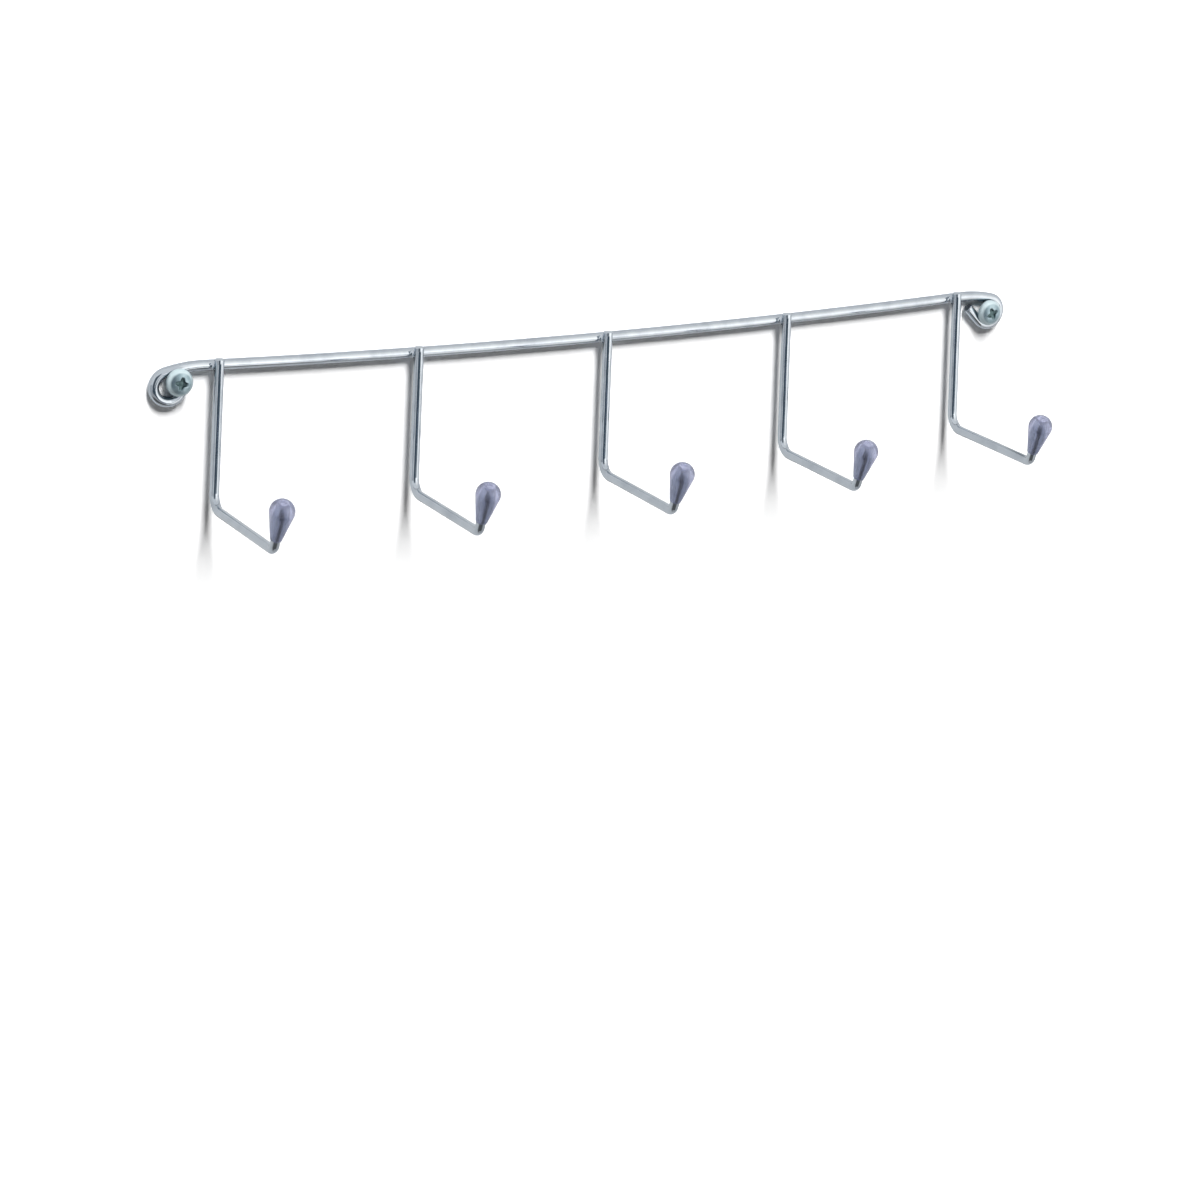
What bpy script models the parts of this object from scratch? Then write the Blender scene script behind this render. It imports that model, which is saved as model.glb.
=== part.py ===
"""A wire belt rack that hangs on a wall.

One rail of round wire is curled into an eye at each end. Five hooks of thinner wire are welded to
its front, and each hook's end carries a soft teardrop cap. A pan-head screw holds each eye.
Sizes are in metres. +Z is up, the wall is the plane Y = 0, the room is on the -Y side, and the
origin lies on the wall, midway between the centres of the two eyes.
"""
import math

import bmesh
import bpy
from mathutils import Matrix, Vector

MM = 0.001

# Gap kept between two pieces that touch
SEAT_GAP = 0.3 * MM

# Rail
RAIL_WIRE = 3.3 * MM
RAIL_SAG = 2.4 * MM
LEAD_START = 3.5 * MM
LEAD_RADIUS = 45.0 * MM
LEAD_TURN = math.radians(16.0)
EYE_RADIUS = 4.5 * MM
RIGHT_EYE_TURN = math.radians(212.0)
TAIL_GAP = 0.9 * MM
LONGEST_TAIL = 20.0 * MM

# Hooks
HOOK_COUNT = 5
HOOK_PITCH = 65.0 * MM
HOOK_WIRE = 3.0 * MM
LEG_OVERRUN = 1.0 * MM
LEG_DROP = 43.2 * MM
INNER_BEND = 5.0 * MM
ARM_LENGTH = 45.1 * MM
OUTER_BEND = 2.7 * MM
UPRIGHT_LEAN = math.radians(21.0)
WELD_WIDTH = 4.2 * MM
WELD_HEIGHT = 4.4 * MM
WELD_DEPTH = 1.6 * MM

# Tip caps
CAP_SEAT = 4.0 * MM
CAP_NECK = 9.9 * MM
CAP_BALL = 7.7 * MM
CAP_RIM = 4.3 * MM
CAP_RIM_ROUND = 0.2 * MM
CAP_BORE_GAP = 0.25 * MM

# Screws
SCREW_HEAD = 8.4 * MM
SCREW_HEAD_HEIGHT = 2.8 * MM
SCREW_HEAD_SIDE = 0.7 * MM
SCREW_HEAD_SHOULDER = 1.4 * MM
SCREW_NECK = 3.0 * MM
SCREW_NECK_OVERRUN = 1.2 * MM
SCREW_THREAD = 4.0 * MM
SCREW_ROOT = 2.8 * MM
SCREW_PITCH = 1.8 * MM
SCREW_LENGTH = 25.0 * MM
SCREW_POINT = 4.0 * MM
SCREW_POINT_TIP = 0.5 * MM
RECESS_SPAN = 4.2 * MM
RECESS_WING = 1.1 * MM
RECESS_DEPTH = 2.0 * MM
RECESS_FLOOR_SHARE = 0.45
LEFT_SCREW_INBOARD = 2.8 * MM
RIGHT_SCREW_INBOARD = 0.8 * MM
CLOSING_GAP = 0.4 * MM

# Edges and fineness of the surfaces
WIRE_END_ROUND = 0.45 * MM
CUT_OVERRUN = 0.5 * MM
RAIL_SIDES = 16
HOOK_SIDES = 14
CAP_SIDES = 20
SCREW_SIDES = 20
SPAN_STEPS = 8
LEAD_STEPS = 4
BEND_STEP = math.radians(15.0)
END_STEPS = 2
ROUND_STEPS = 4
BALL_STEPS = 8
STEPS_PER_THREAD = 4
WELD_RINGS = 8
HALVINGS = 40
SHARP_ANGLE = math.radians(35.0)
WHOLE_TURN = 2.0 * math.pi
QUARTER = 0.5 * math.pi

# Finishes: linear colour, roughness, metallic, transmission
CHROME_FINISH = ((0.62, 0.66, 0.69), 0.07, 1.0, 0.0)
ZINC_FINISH = ((0.55, 0.63, 0.66), 0.22, 1.0, 0.0)
VINYL_FINISH = ((0.36, 0.36, 0.53), 0.16, 0.0, 0.35)


def clear_scene():
    """Removes the objects that a new file starts with."""
    for item in list(bpy.data.objects):
        bpy.data.objects.remove(item)


def make_material(name, finish):
    """Makes a Principled material from a finish."""
    colour, roughness, metallic, transmission = finish
    material = bpy.data.materials.new(name)
    material.use_nodes = True
    shader = material.node_tree.nodes["Principled BSDF"]
    shader.inputs["Base Color"].default_value = (*colour, 1.0)
    shader.inputs["Roughness"].default_value = roughness
    shader.inputs["Metallic"].default_value = metallic
    shader.inputs["Transmission Weight"].default_value = transmission
    return material


def new_object(name, mesh, parent=None):
    """Puts a mesh in the scene under a name, carried by a parent where one is given."""
    item = bpy.data.objects.new(name, mesh)
    bpy.context.scene.collection.objects.link(item)
    item.parent = parent
    return item


def finish_mesh(bm, name, material=None):
    """Turns a closed bmesh into a smooth mesh whose faces point out."""
    bmesh.ops.recalc_face_normals(bm, faces=bm.faces)
    mesh = bpy.data.meshes.new(name)
    bm.to_mesh(mesh)
    bm.free()
    mesh.shade_smooth()
    mesh.set_sharp_from_angle(angle=SHARP_ANGLE)
    if material:
        mesh.materials.append(material)
    return mesh


def skin_rings(rings, name, material=None):
    """Joins rings of points, all of one length, into a closed tube with a flat face at each end."""
    bm = bmesh.new()
    loops = [[bm.verts.new(point) for point in ring] for ring in rings]
    for near, far in zip(loops, loops[1:]):
        for k in range(len(near)):
            bm.faces.new((near[k - 1], near[k], far[k], far[k - 1]))
    bm.faces.new(loops[0])
    bm.faces.new(loops[-1])
    return finish_mesh(bm, name, material)


class Route:
    """A wire's centre line in one plane, drawn with straight runs and tangent arcs."""

    def __init__(self, heading=0.0):
        self.points = [Vector((0.0, 0.0))]
        self.headings = [heading]

    def straight(self, length):
        """Runs on along the heading."""
        heading = self.headings[-1]
        self.points.append(self.points[-1] + length * Vector((math.cos(heading), math.sin(heading))))
        self.headings.append(heading)

    def centre(self, radius, turn):
        """The centre of an arc that would start here; a positive turn is to the left."""
        heading = self.headings[-1]
        side = math.copysign(radius, turn)
        return self.points[-1] + side * Vector((-math.sin(heading), math.cos(heading)))

    def arc(self, radius, turn, steps):
        """Turns along an arc in equal steps."""
        middle = self.centre(radius, turn)
        spoke = self.points[-1] - middle
        first = self.headings[-1]
        for k in range(1, steps + 1):
            angle = turn * k / steps
            self.points.append(middle + Matrix.Rotation(angle, 2) @ spoke)
            self.headings.append(first + angle)

    def bend(self, radius, turn):
        """Turns along an arc in steps of about one bend step."""
        self.arc(radius, turn, math.ceil(abs(turn) / BEND_STEP))

    def distance(self, point):
        """How far a point lies from the centre line."""
        best = math.inf
        for start, end in zip(self.points, self.points[1:]):
            run = end - start
            along = min(1.0, max(0.0, (point - start).dot(run) / run.length_squared))
            best = min(best, (point - start - along * run).length)
        return best


def longest_that_fits(fits, limit):
    """The largest value from zero to the limit that still fits, found by halving."""
    low, high = 0.0, limit
    for _ in range(HALVINGS):
        middle = 0.5 * (low + high)
        if fits(middle):
            low = middle
        else:
            high = middle
    return low


def rounded_end(radius):
    """Distance back from a wire's end and radius there, from the full wire to the end's flat."""
    turns = [QUARTER * k / END_STEPS for k in range(1, END_STEPS + 1)]
    return [
        (WIRE_END_ROUND * (1.0 - math.sin(turn)), radius - WIRE_END_ROUND * (1.0 - math.cos(turn)))
        for turn in turns
    ]


def wire_rings(route, radius, sides, place, across):
    """Rings of a round wire along a route, with its two cut edges rounded.

    place turns a point of the route's plane into a point in space, and across is the plane's normal.
    """
    stations = [(point, heading, radius) for point, heading in zip(route.points, route.headings)]
    for end, sense in ((0, 1.0), (-1, -1.0)):
        point, heading, _ = stations[end]
        back = sense * Vector((math.cos(heading), math.sin(heading)))
        extra = [(point + away * back, heading, width) for away, width in rounded_end(radius)]
        full = (point + WIRE_END_ROUND * back, heading, radius)
        if end == 0:
            stations[:1] = extra[::-1] + [full]
        else:
            stations[-1:] = [full] + extra
    rings = []
    for point, heading, width in stations:
        middle = place(point)
        normal = place(Vector((-math.sin(heading), math.cos(heading)))) - place(Vector((0.0, 0.0)))
        angles = [WHOLE_TURN * (k + 0.5) / sides for k in range(sides)]
        rings.append([middle + width * (math.cos(a) * normal + math.sin(a) * across) for a in angles])
    return rings


def outer_hook_x():
    """How far the outer hooks stand from the rack's middle."""
    return 0.5 * HOOK_PITCH * (HOOK_COUNT - 1)


def sag_radius():
    """Radius of the long arc in which the rail hangs between its outer hooks."""
    return (outer_hook_x() ** 2 + RAIL_SAG ** 2) / (2.0 * RAIL_SAG)


def rail_half():
    """The rail's centre line from its middle to where an eye begins."""
    route = Route()
    route.arc(sag_radius(), math.asin((outer_hook_x() + LEAD_START) / sag_radius()), SPAN_STEPS)
    route.arc(LEAD_RADIUS, -LEAD_TURN, LEAD_STEPS)
    return route


def eye_centre():
    """The centre of the right eye, measured from the middle of the rail's centre line."""
    return rail_half().centre(EYE_RADIUS, -1.0)


def left_screw_offset():
    """The left screw from its eye's centre, (outboard, up): the rail rests on the screw's neck."""
    half = rail_half()
    reach = 0.5 * (RAIL_WIRE + SCREW_NECK) + SEAT_GAP

    def clear(up):
        """Whether the neck clears the rail this far above the eye's centre."""
        return half.distance(eye_centre() + Vector((-LEFT_SCREW_INBOARD, up))) >= reach

    return Vector((-LEFT_SCREW_INBOARD, longest_that_fits(clear, EYE_RADIUS)))


def right_screw_offset():
    """The right screw from its eye's centre, (outboard, up): level with it and a little inboard."""
    return Vector((-RIGHT_SCREW_INBOARD, 0.0))


def left_eye_turn():
    """How far the left eye curls: its cut end stops short of the screw's neck."""
    screw = eye_centre() + left_screw_offset()
    reach = 0.5 * (RAIL_WIRE + SCREW_NECK) + CLOSING_GAP

    def clear(extra):
        """Whether the wire's end clears the neck after this much more than half a turn."""
        route = rail_half()
        route.bend(EYE_RADIUS, -(math.pi + extra))
        return (route.points[-1] - screw).length >= reach

    return math.pi + longest_that_fits(clear, QUARTER)


def left_half():
    """The left half of the rail's centre line, drawn as if it were on the right."""
    route = rail_half()
    route.bend(EYE_RADIUS, -left_eye_turn())
    return route


def right_half():
    """The right half of the rail's centre line, with a straight tail that ends under the rail."""
    route = rail_half()
    upper = rail_half()
    route.bend(EYE_RADIUS, -RIGHT_EYE_TURN)
    start = route.points[-1]
    heading = route.headings[-1]
    along = Vector((math.cos(heading), math.sin(heading)))
    corner = 0.5 * RAIL_WIRE * Vector((math.sin(heading), -math.cos(heading)))

    def clear(length):
        """Whether the tail's upper corner clears the rail at this length."""
        return upper.distance(start + length * along + corner) >= 0.5 * RAIL_WIRE + TAIL_GAP

    route.straight(longest_that_fits(clear, LONGEST_TAIL))
    return route


def rail_route():
    """The rail's whole centre line, from the left cut end to the right one."""
    left = left_half()
    right = right_half()
    whole = Route()
    whole.points = [Vector((-p.x, p.y)) for p in reversed(left.points)] + right.points[1:]
    whole.headings = [-h for h in reversed(left.headings)] + right.headings[1:]
    return whole


def rail_place(point):
    """A point of the rail's plane, in space: the wire's back touches the wall."""
    return Vector((point.x, -0.5 * RAIL_WIRE, point.y - eye_centre().y))


def make_rail(chrome):
    """The rail with its two eyes."""
    rings = wire_rings(rail_route(), 0.5 * RAIL_WIRE, RAIL_SIDES, rail_place, Vector((0.0, 1.0, 0.0)))
    return new_object("rail", skin_rings(rings, "rail", chrome))


def hook_route():
    """A hook's centre line from its top to its end: (distance from the leg, height)."""
    lean = QUARTER - UPRIGHT_LEAN
    inner_run = INNER_BEND * math.tan(0.5 * QUARTER)
    outer_run = OUTER_BEND * math.tan(0.5 * lean)
    route = Route(-QUARTER)
    route.points = [Vector((0.0, 0.5 * RAIL_WIRE + LEG_OVERRUN))]
    route.straight(0.5 * RAIL_WIRE + LEG_OVERRUN + LEG_DROP - inner_run)
    route.bend(INNER_BEND, QUARTER)
    route.straight(ARM_LENGTH - inner_run - outer_run)
    route.bend(OUTER_BEND, lean)
    route.straight(CAP_SEAT + CAP_NECK - outer_run)
    return route


def leg_offset():
    """How far in front of the rail's centre line a hook's leg stands."""
    return 0.5 * (RAIL_WIRE + HOOK_WIRE) + SEAT_GAP


def hook_place(point):
    """A point of the hook's plane, in the hook's own space."""
    return Vector((0.0, -leg_offset() - point.x, point.y))


def make_hook_mesh(chrome):
    """The wire that all hooks share."""
    rings = wire_rings(hook_route(), 0.5 * HOOK_WIRE, HOOK_SIDES, hook_place, Vector((1.0, 0.0, 0.0)))
    return skin_rings(rings, "hook", chrome)


def make_weld_mesh():
    """The swelling of the weld, a flat ellipsoid behind the leg."""
    bm = bmesh.new()
    bmesh.ops.create_uvsphere(bm, u_segments=HOOK_SIDES, v_segments=WELD_RINGS, radius=0.5)
    bmesh.ops.scale(bm, vec=(WELD_WIDTH, WELD_DEPTH, WELD_HEIGHT), verts=bm.verts)
    return finish_mesh(bm, "weld")


def hide_guide(item):
    """Marks a body that only shapes another one."""
    item.hide_render = True
    item.display_type = "WIRE"


def combine(item, tool, operation):
    """Adds or cuts a guide body."""
    modifier = item.modifiers.new(tool.name, "BOOLEAN")
    modifier.object = tool
    modifier.operation = operation
    modifier.solver = "EXACT"
    hide_guide(tool)


def make_hooks(chrome):
    """The hooks, each square to the rail where it is welded."""
    mesh = make_hook_mesh(chrome)
    weld_mesh = make_weld_mesh()
    hooks = []
    for k in range(HOOK_COUNT):
        x = HOOK_PITCH * k - outer_hook_x()
        tilt = math.asin(x / sag_radius())
        rise = sag_radius() * (1.0 - math.cos(tilt))
        hook = new_object(f"hook_{k + 1}", mesh)
        hook.location = rail_place(Vector((x, rise)))
        hook.rotation_euler = (0.0, -tilt, 0.0)
        weld = new_object(f"weld_{k + 1}", weld_mesh, hook)
        weld.location = (0.0, -0.5 * RAIL_WIRE - SEAT_GAP - 0.5 * WELD_DEPTH, 0.0)
        combine(hook, weld, "UNION")
        hooks.append(hook)
    return hooks


def cap_outline():
    """A tip cap's section, (radius, height above its rim), from the bore's floor round to its top."""
    ball = 0.5 * CAP_BALL
    rim = 0.5 * CAP_RIM
    bore = 0.5 * HOOK_WIRE + CAP_BORE_GAP
    cone = math.hypot(CAP_NECK, rim)
    slope = math.asin(ball / cone) - math.atan2(rim, CAP_NECK)
    outline = [(0.0, CAP_NECK + CAP_BORE_GAP), (bore, CAP_NECK + CAP_BORE_GAP), (bore, 0.0)]
    for k in range(ROUND_STEPS + 1):
        angle = QUARTER * k / ROUND_STEPS
        reach = rim - CAP_RIM_ROUND * (1.0 - math.sin(angle))
        outline.append((reach, CAP_RIM_ROUND * (1.0 - math.cos(angle))))
    for k in range(BALL_STEPS + 1):
        angle = -slope + (QUARTER + slope) * k / BALL_STEPS
        outline.append((ball * math.cos(angle), CAP_NECK + ball * math.sin(angle)))
    outline[-1] = (0.0, CAP_NECK + ball)
    return outline


def make_cap_mesh(vinyl):
    """The soft cap that all hooks share, turned about its own axis."""
    bm = bmesh.new()
    verts = [bm.verts.new((radius, 0.0, height)) for radius, height in cap_outline()]
    edges = [bm.edges.new(pair) for pair in zip(verts, verts[1:])]
    bmesh.ops.spin(
        bm, geom=verts + edges, cent=(0.0, 0.0, 0.0), axis=(0.0, 0.0, 1.0),
        angle=WHOLE_TURN, steps=CAP_SIDES, use_merge=True,
    )
    bmesh.ops.remove_doubles(bm, verts=bm.verts, dist=CAP_RIM_ROUND / CAP_SIDES)
    return finish_mesh(bm, "tip_cap", vinyl)


def make_caps(hooks, vinyl):
    """One cap on each hook's end, in line with the upright."""
    mesh = make_cap_mesh(vinyl)
    seat = Vector((ARM_LENGTH + CAP_SEAT * math.sin(UPRIGHT_LEAN), CAP_SEAT * math.cos(UPRIGHT_LEAN) - LEG_DROP))
    for k, hook in enumerate(hooks):
        cap = new_object(f"tip_cap_{k + 1}", mesh, hook)
        cap.location = hook_place(seat)
        cap.rotation_euler = (UPRIGHT_LEAN, 0.0, 0.0)


def thread_radius(height, angle):
    """The threaded part's radius at a height above the point and an angle round the axis."""
    phase = (height / SCREW_PITCH - angle / WHOLE_TURN) % 1.0
    crest = max(0.0, 1.0 - 2.0 * abs(2.0 * phase - 1.0))
    depth = 0.5 * (SCREW_THREAD - SCREW_ROOT)
    taper = min(1.0, height / SCREW_POINT)
    return 0.5 * SCREW_POINT_TIP + taper * (0.5 * (SCREW_ROOT - SCREW_POINT_TIP) + depth * crest)


def head_outline():
    """The head's section above its seat, (radius, height), from its edge to its top."""
    edge = 0.5 * SCREW_HEAD
    top = edge - SCREW_HEAD_SHOULDER
    outline = [(edge, 0.0), (edge, SCREW_HEAD_SIDE)]
    for k in range(1, ROUND_STEPS + 1):
        angle = QUARTER * k / (ROUND_STEPS + 1)
        reach = SCREW_HEAD_SHOULDER * math.cos(angle)
        outline.append((top + reach, SCREW_HEAD_SIDE + SCREW_HEAD_SHOULDER * math.sin(angle)))
    crown = SCREW_HEAD_SIDE + SCREW_HEAD_SHOULDER * math.sin(angle)
    lift = SCREW_HEAD_HEIGHT - crown
    start = outline[-1][0]
    for k in range(1, ROUND_STEPS):
        share = k / ROUND_STEPS
        outline.append((start * (1.0 - share), crown + lift * (1.0 - (1.0 - share) ** 2)))
    return outline


def make_screw_mesh(zinc):
    """A pan-head screw that stands on its point: thread, neck and head, without the recess."""
    neck_run = RAIL_WIRE + SEAT_GAP + SCREW_NECK_OVERRUN
    thread_run = SCREW_LENGTH - neck_run
    count = math.ceil(STEPS_PER_THREAD * thread_run / SCREW_PITCH)
    angles = [WHOLE_TURN * k / SCREW_SIDES for k in range(SCREW_SIDES)]

    def ring(height, width):
        """A ring whose radius is a number, or a function of height and angle."""
        radii = [width(height, a) if callable(width) else width for a in angles]
        return [Vector((r * math.cos(a), r * math.sin(a), height)) for r, a in zip(radii, angles)]

    rings = [ring(thread_run * k / count, thread_radius) for k in range(count)]
    rings.append(ring(thread_run, 0.5 * SCREW_NECK))
    rings.append(ring(SCREW_LENGTH, 0.5 * SCREW_NECK))
    rings += [ring(SCREW_LENGTH + height, width) for width, height in head_outline()]
    return skin_rings(rings, "screw", zinc)


def make_recess_mesh():
    """The cross recess as a body that narrows towards its floor."""
    wing = 0.5 * RECESS_WING
    span = 0.5 * RECESS_SPAN
    quarter = [(wing, wing), (wing, span), (-wing, span)]
    corners = [Matrix.Rotation(QUARTER * k, 2) @ Vector(point) for k in range(4) for point in quarter]
    top = SCREW_HEAD_HEIGHT + CUT_OVERRUN
    floor = SCREW_HEAD_HEIGHT - RECESS_DEPTH
    bm = bmesh.new()
    upper = [bm.verts.new((c.x, c.y, top)) for c in corners]
    lower = [bm.verts.new((RECESS_FLOOR_SHARE * c.x, RECESS_FLOOR_SHARE * c.y, floor)) for c in corners]
    bm.faces.new(upper)
    bm.faces.new(lower)
    for k in range(len(corners)):
        bm.faces.new((upper[k - 1], upper[k], lower[k], lower[k - 1]))
    return finish_mesh(bm, "recess")


def make_screws(zinc):
    """Both screws, square to the wall, with their heads against the front of the eyes."""
    mesh = make_screw_mesh(zinc)
    recess_mesh = make_recess_mesh()
    seat = -RAIL_WIRE - SEAT_GAP
    for side, sense, offset in (
        ("left", -1.0, left_screw_offset()),
        ("right", 1.0, right_screw_offset()),
    ):
        screw = new_object(f"screw_{side}", mesh)
        screw.location = (sense * (eye_centre().x + offset.x), seat + SCREW_LENGTH, offset.y)
        screw.rotation_euler = (QUARTER, 0.0, 0.0)
        recess = new_object(f"recess_{side}", recess_mesh, screw)
        recess.location = (0.0, 0.0, SCREW_LENGTH)
        combine(screw, recess, "DIFFERENCE")


def main():
    """Builds the rack."""
    clear_scene()
    chrome = make_material("chrome_wire", CHROME_FINISH)
    zinc = make_material("zinc_screw", ZINC_FINISH)
    vinyl = make_material("vinyl_cap", VINYL_FINISH)
    make_rail(chrome)
    hooks = make_hooks(chrome)
    make_caps(hooks, vinyl)
    make_screws(zinc)


main()
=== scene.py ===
"""A chromed wire belt rack on a white wall, dressed for a close look.

The rack is one rail curled into an eye at each end, hooks welded to its front, a soft cap on each
hook's tip, and a pan-head screw through each eye. Lengths are in metres unless a name ends in _mm.
"""

import logging
import math
from collections.abc import Iterator, Mapping, Sequence
from dataclasses import dataclass, field
from enum import Enum
from typing import Any, ClassVar

import bmesh
import bpy
import numpy as np
from bpy.types import Material, Mesh, Node, NodeSocket, NodeTree, Object
from mathutils import Matrix, Vector


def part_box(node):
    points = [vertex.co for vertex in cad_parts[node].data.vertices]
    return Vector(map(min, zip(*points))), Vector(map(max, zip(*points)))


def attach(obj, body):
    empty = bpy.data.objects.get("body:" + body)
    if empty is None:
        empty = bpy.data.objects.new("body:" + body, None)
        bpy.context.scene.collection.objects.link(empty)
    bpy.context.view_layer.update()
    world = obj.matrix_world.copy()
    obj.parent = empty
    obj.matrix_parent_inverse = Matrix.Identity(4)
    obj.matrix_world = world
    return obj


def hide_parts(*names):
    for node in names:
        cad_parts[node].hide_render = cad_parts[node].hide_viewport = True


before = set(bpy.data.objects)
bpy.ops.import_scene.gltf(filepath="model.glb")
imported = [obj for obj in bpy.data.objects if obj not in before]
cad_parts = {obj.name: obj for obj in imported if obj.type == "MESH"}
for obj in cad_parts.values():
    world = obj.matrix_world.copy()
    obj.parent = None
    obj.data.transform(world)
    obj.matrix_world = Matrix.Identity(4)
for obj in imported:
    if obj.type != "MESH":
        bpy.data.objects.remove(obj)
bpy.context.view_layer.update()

MM = 0.001
QUARTER = 0.5 * math.pi
WHOLE_TURN = 2.0 * math.pi
BODY = "root"
LOG = logging.getLogger("belt_rack")

# A point of a centre line: two coordinates in its plane and the heading there, in radians.
Station = tuple[float, float, float]
# A linear colour with alpha.
Rgba = tuple[float, float, float, float]


class Slot(Enum):
    """The record's material slots."""

    CHROME = "chrome_wire"
    ZINC = "zinc_screw"
    VINYL = "vinyl_cap"


class Side(Enum):
    """The two ends of the rail; the values end the names of the screws' nodes."""

    LEFT = "left"
    RIGHT = "right"


# How far each screw is turned in its hole.
SCREW_TURNS = {Side.LEFT: math.radians(-13.0), Side.RIGHT: math.radians(24.0)}


class Layer(Enum):
    """Names of the values that a mesh carries for its finish."""

    PLACE = "place_mm"
    RUB = "rub"
    # The zinc head's mask for a painted highlight on the rim and painted shade in the recess.
    HEAD = "painted_rim_highlight_and_recess_shade"
    GLOW = "glow"


def linear(hex_colour: str) -> Rgba:
    """Turns an sRGB hex colour into linear RGBA.

    Args:
        hex_colour: Six hex digits after a hash sign.

    Returns:
        The linear colour with alpha 1.
    """
    parts = (int(hex_colour[k : k + 2], 16) / 255.0 for k in (1, 3, 5))
    red, green, blue = (c / 12.92 if c <= 0.04045 else ((c + 0.055) / 1.055) ** 2.4 for c in parts)
    return red, green, blue, 1.0


def add_node(
    tree: NodeTree, kind: str, inputs: Mapping[str | int, Any] | None = None, **settings: Any
) -> Node:
    """Adds one shader node, sets it and links it.

    Args:
        tree: The node tree that takes the node.
        kind: The node's type without its leading "ShaderNode".
        inputs: Socket name or number, to a plain value or to the output socket that feeds it.
        **settings: Properties of the node itself.

    Returns:
        The new node.
    """
    node = tree.nodes.new(f"ShaderNode{kind}")
    for name, value in settings.items():
        setattr(node, name, value)
    for key, value in (inputs or {}).items():
        if isinstance(value, NodeSocket):
            tree.links.new(value, node.inputs[key])
        else:
            node.inputs[key].default_value = value
    return node


def carried(tree: NodeTree, layer: Layer, output: str) -> NodeSocket:
    """Reads a value that the mesh carries."""
    return add_node(tree, "Attribute", attribute_name=layer.value).outputs[output]


@dataclass(frozen=True)
class Pattern:
    """A noise pattern whose lumps have a real size, which may be sharpened into patches.

    The edge holds the noise's values where a patch begins and where it is full.
    """

    size_mm: float
    octaves: float
    octave_share: float = 0.5
    edge: tuple[float, float] | None = None

    def read(self, tree: NodeTree, place: NodeSocket) -> NodeSocket:
        """Adds the pattern's nodes.

        Args:
            tree: The node tree that takes them.
            place: Where the pattern is read, in millimetres.

        Returns:
            The pattern, from 0 to 1.
        """
        value = add_node(
            tree, "TexNoise",
            {
                "Vector": place, "Scale": 1.0 / self.size_mm,
                "Detail": self.octaves, "Roughness": self.octave_share,
            },
        ).outputs["Fac"]
        if self.edge is None:
            return value
        patches = add_node(tree, "ValToRGB", {"Fac": value})
        for element, position, level in zip(patches.color_ramp.elements, self.edge, (0.0, 1.0)):
            element.position = position
            element.color = (level, level, level, 1.0)
        return patches.outputs["Color"]


def stretched(tree: NodeTree, place: NodeSocket, share: float, slant: float = 0.0) -> NodeSocket:
    """Squeezes places along the wire to a share, which draws a pattern out, and slants them."""
    inputs = {"Vector": place, "Scale": (share, 1.0, 1.0), "Rotation": (0.0, 0.0, slant)}
    return add_node(tree, "Mapping", inputs).outputs["Vector"]


def between(tree: NodeTree, share: NodeSocket, low: float, high: float) -> NodeSocket:
    """Runs a value from low to high as a share goes from 0 to 1."""
    inputs = {"Value": share, "To Min": low, "To Max": high}
    return add_node(tree, "MapRange", inputs).outputs["Result"]


def blend(tree: NodeTree, share: NodeSocket, first: Rgba | NodeSocket, second: Rgba) -> NodeSocket:
    """Blends two colours.

    Args:
        tree: The node tree that takes the blend.
        share: How much of the second colour shows.
        first: The first colour, or the socket that gives it.
        second: The second colour.

    Returns:
        The blended colour.
    """
    inputs = {"Factor": share, 6: first, 7: second}
    return add_node(tree, "Mix", inputs, data_type="RGBA").outputs[2]


def shift(tree: NodeTree, share: NodeSocket, first: NodeSocket, second: float) -> NodeSocket:
    """Moves a value towards a second one by a share."""
    return add_node(tree, "Mix", {"Factor": share, 2: first, 3: second}).outputs[0]


def raised(
    tree: NodeTree, height: NodeSocket, height_mm: float, under: NodeSocket | None = None
) -> NodeSocket:
    """Raises a pattern out of a surface.

    Args:
        tree: The node tree that takes the bump.
        height: The pattern, from 0 to 1.
        height_mm: How high its full value stands.
        under: The surface's normal before, if it isn't the plain one.

    Returns:
        The new normal.
    """
    inputs = {"Height": height, "Distance": height_mm * MM}
    if under:
        inputs["Normal"] = under
    return add_node(tree, "Bump", inputs).outputs["Normal"]


def close(tree: NodeTree, inputs: Mapping[str | int, Any]) -> None:
    """Ends a material with one principled surface."""
    shader = add_node(tree, "BsdfPrincipled", inputs).outputs[0]
    add_node(tree, "OutputMaterial", {"Surface": shader})


def new_material(name: str) -> tuple[Material, NodeTree]:
    """Makes a node material and gives it with its node tree, cleared of nodes."""
    material = bpy.data.materials.new(name)
    material.use_nodes = True
    material.node_tree.nodes.clear()
    return material, material.node_tree


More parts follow.
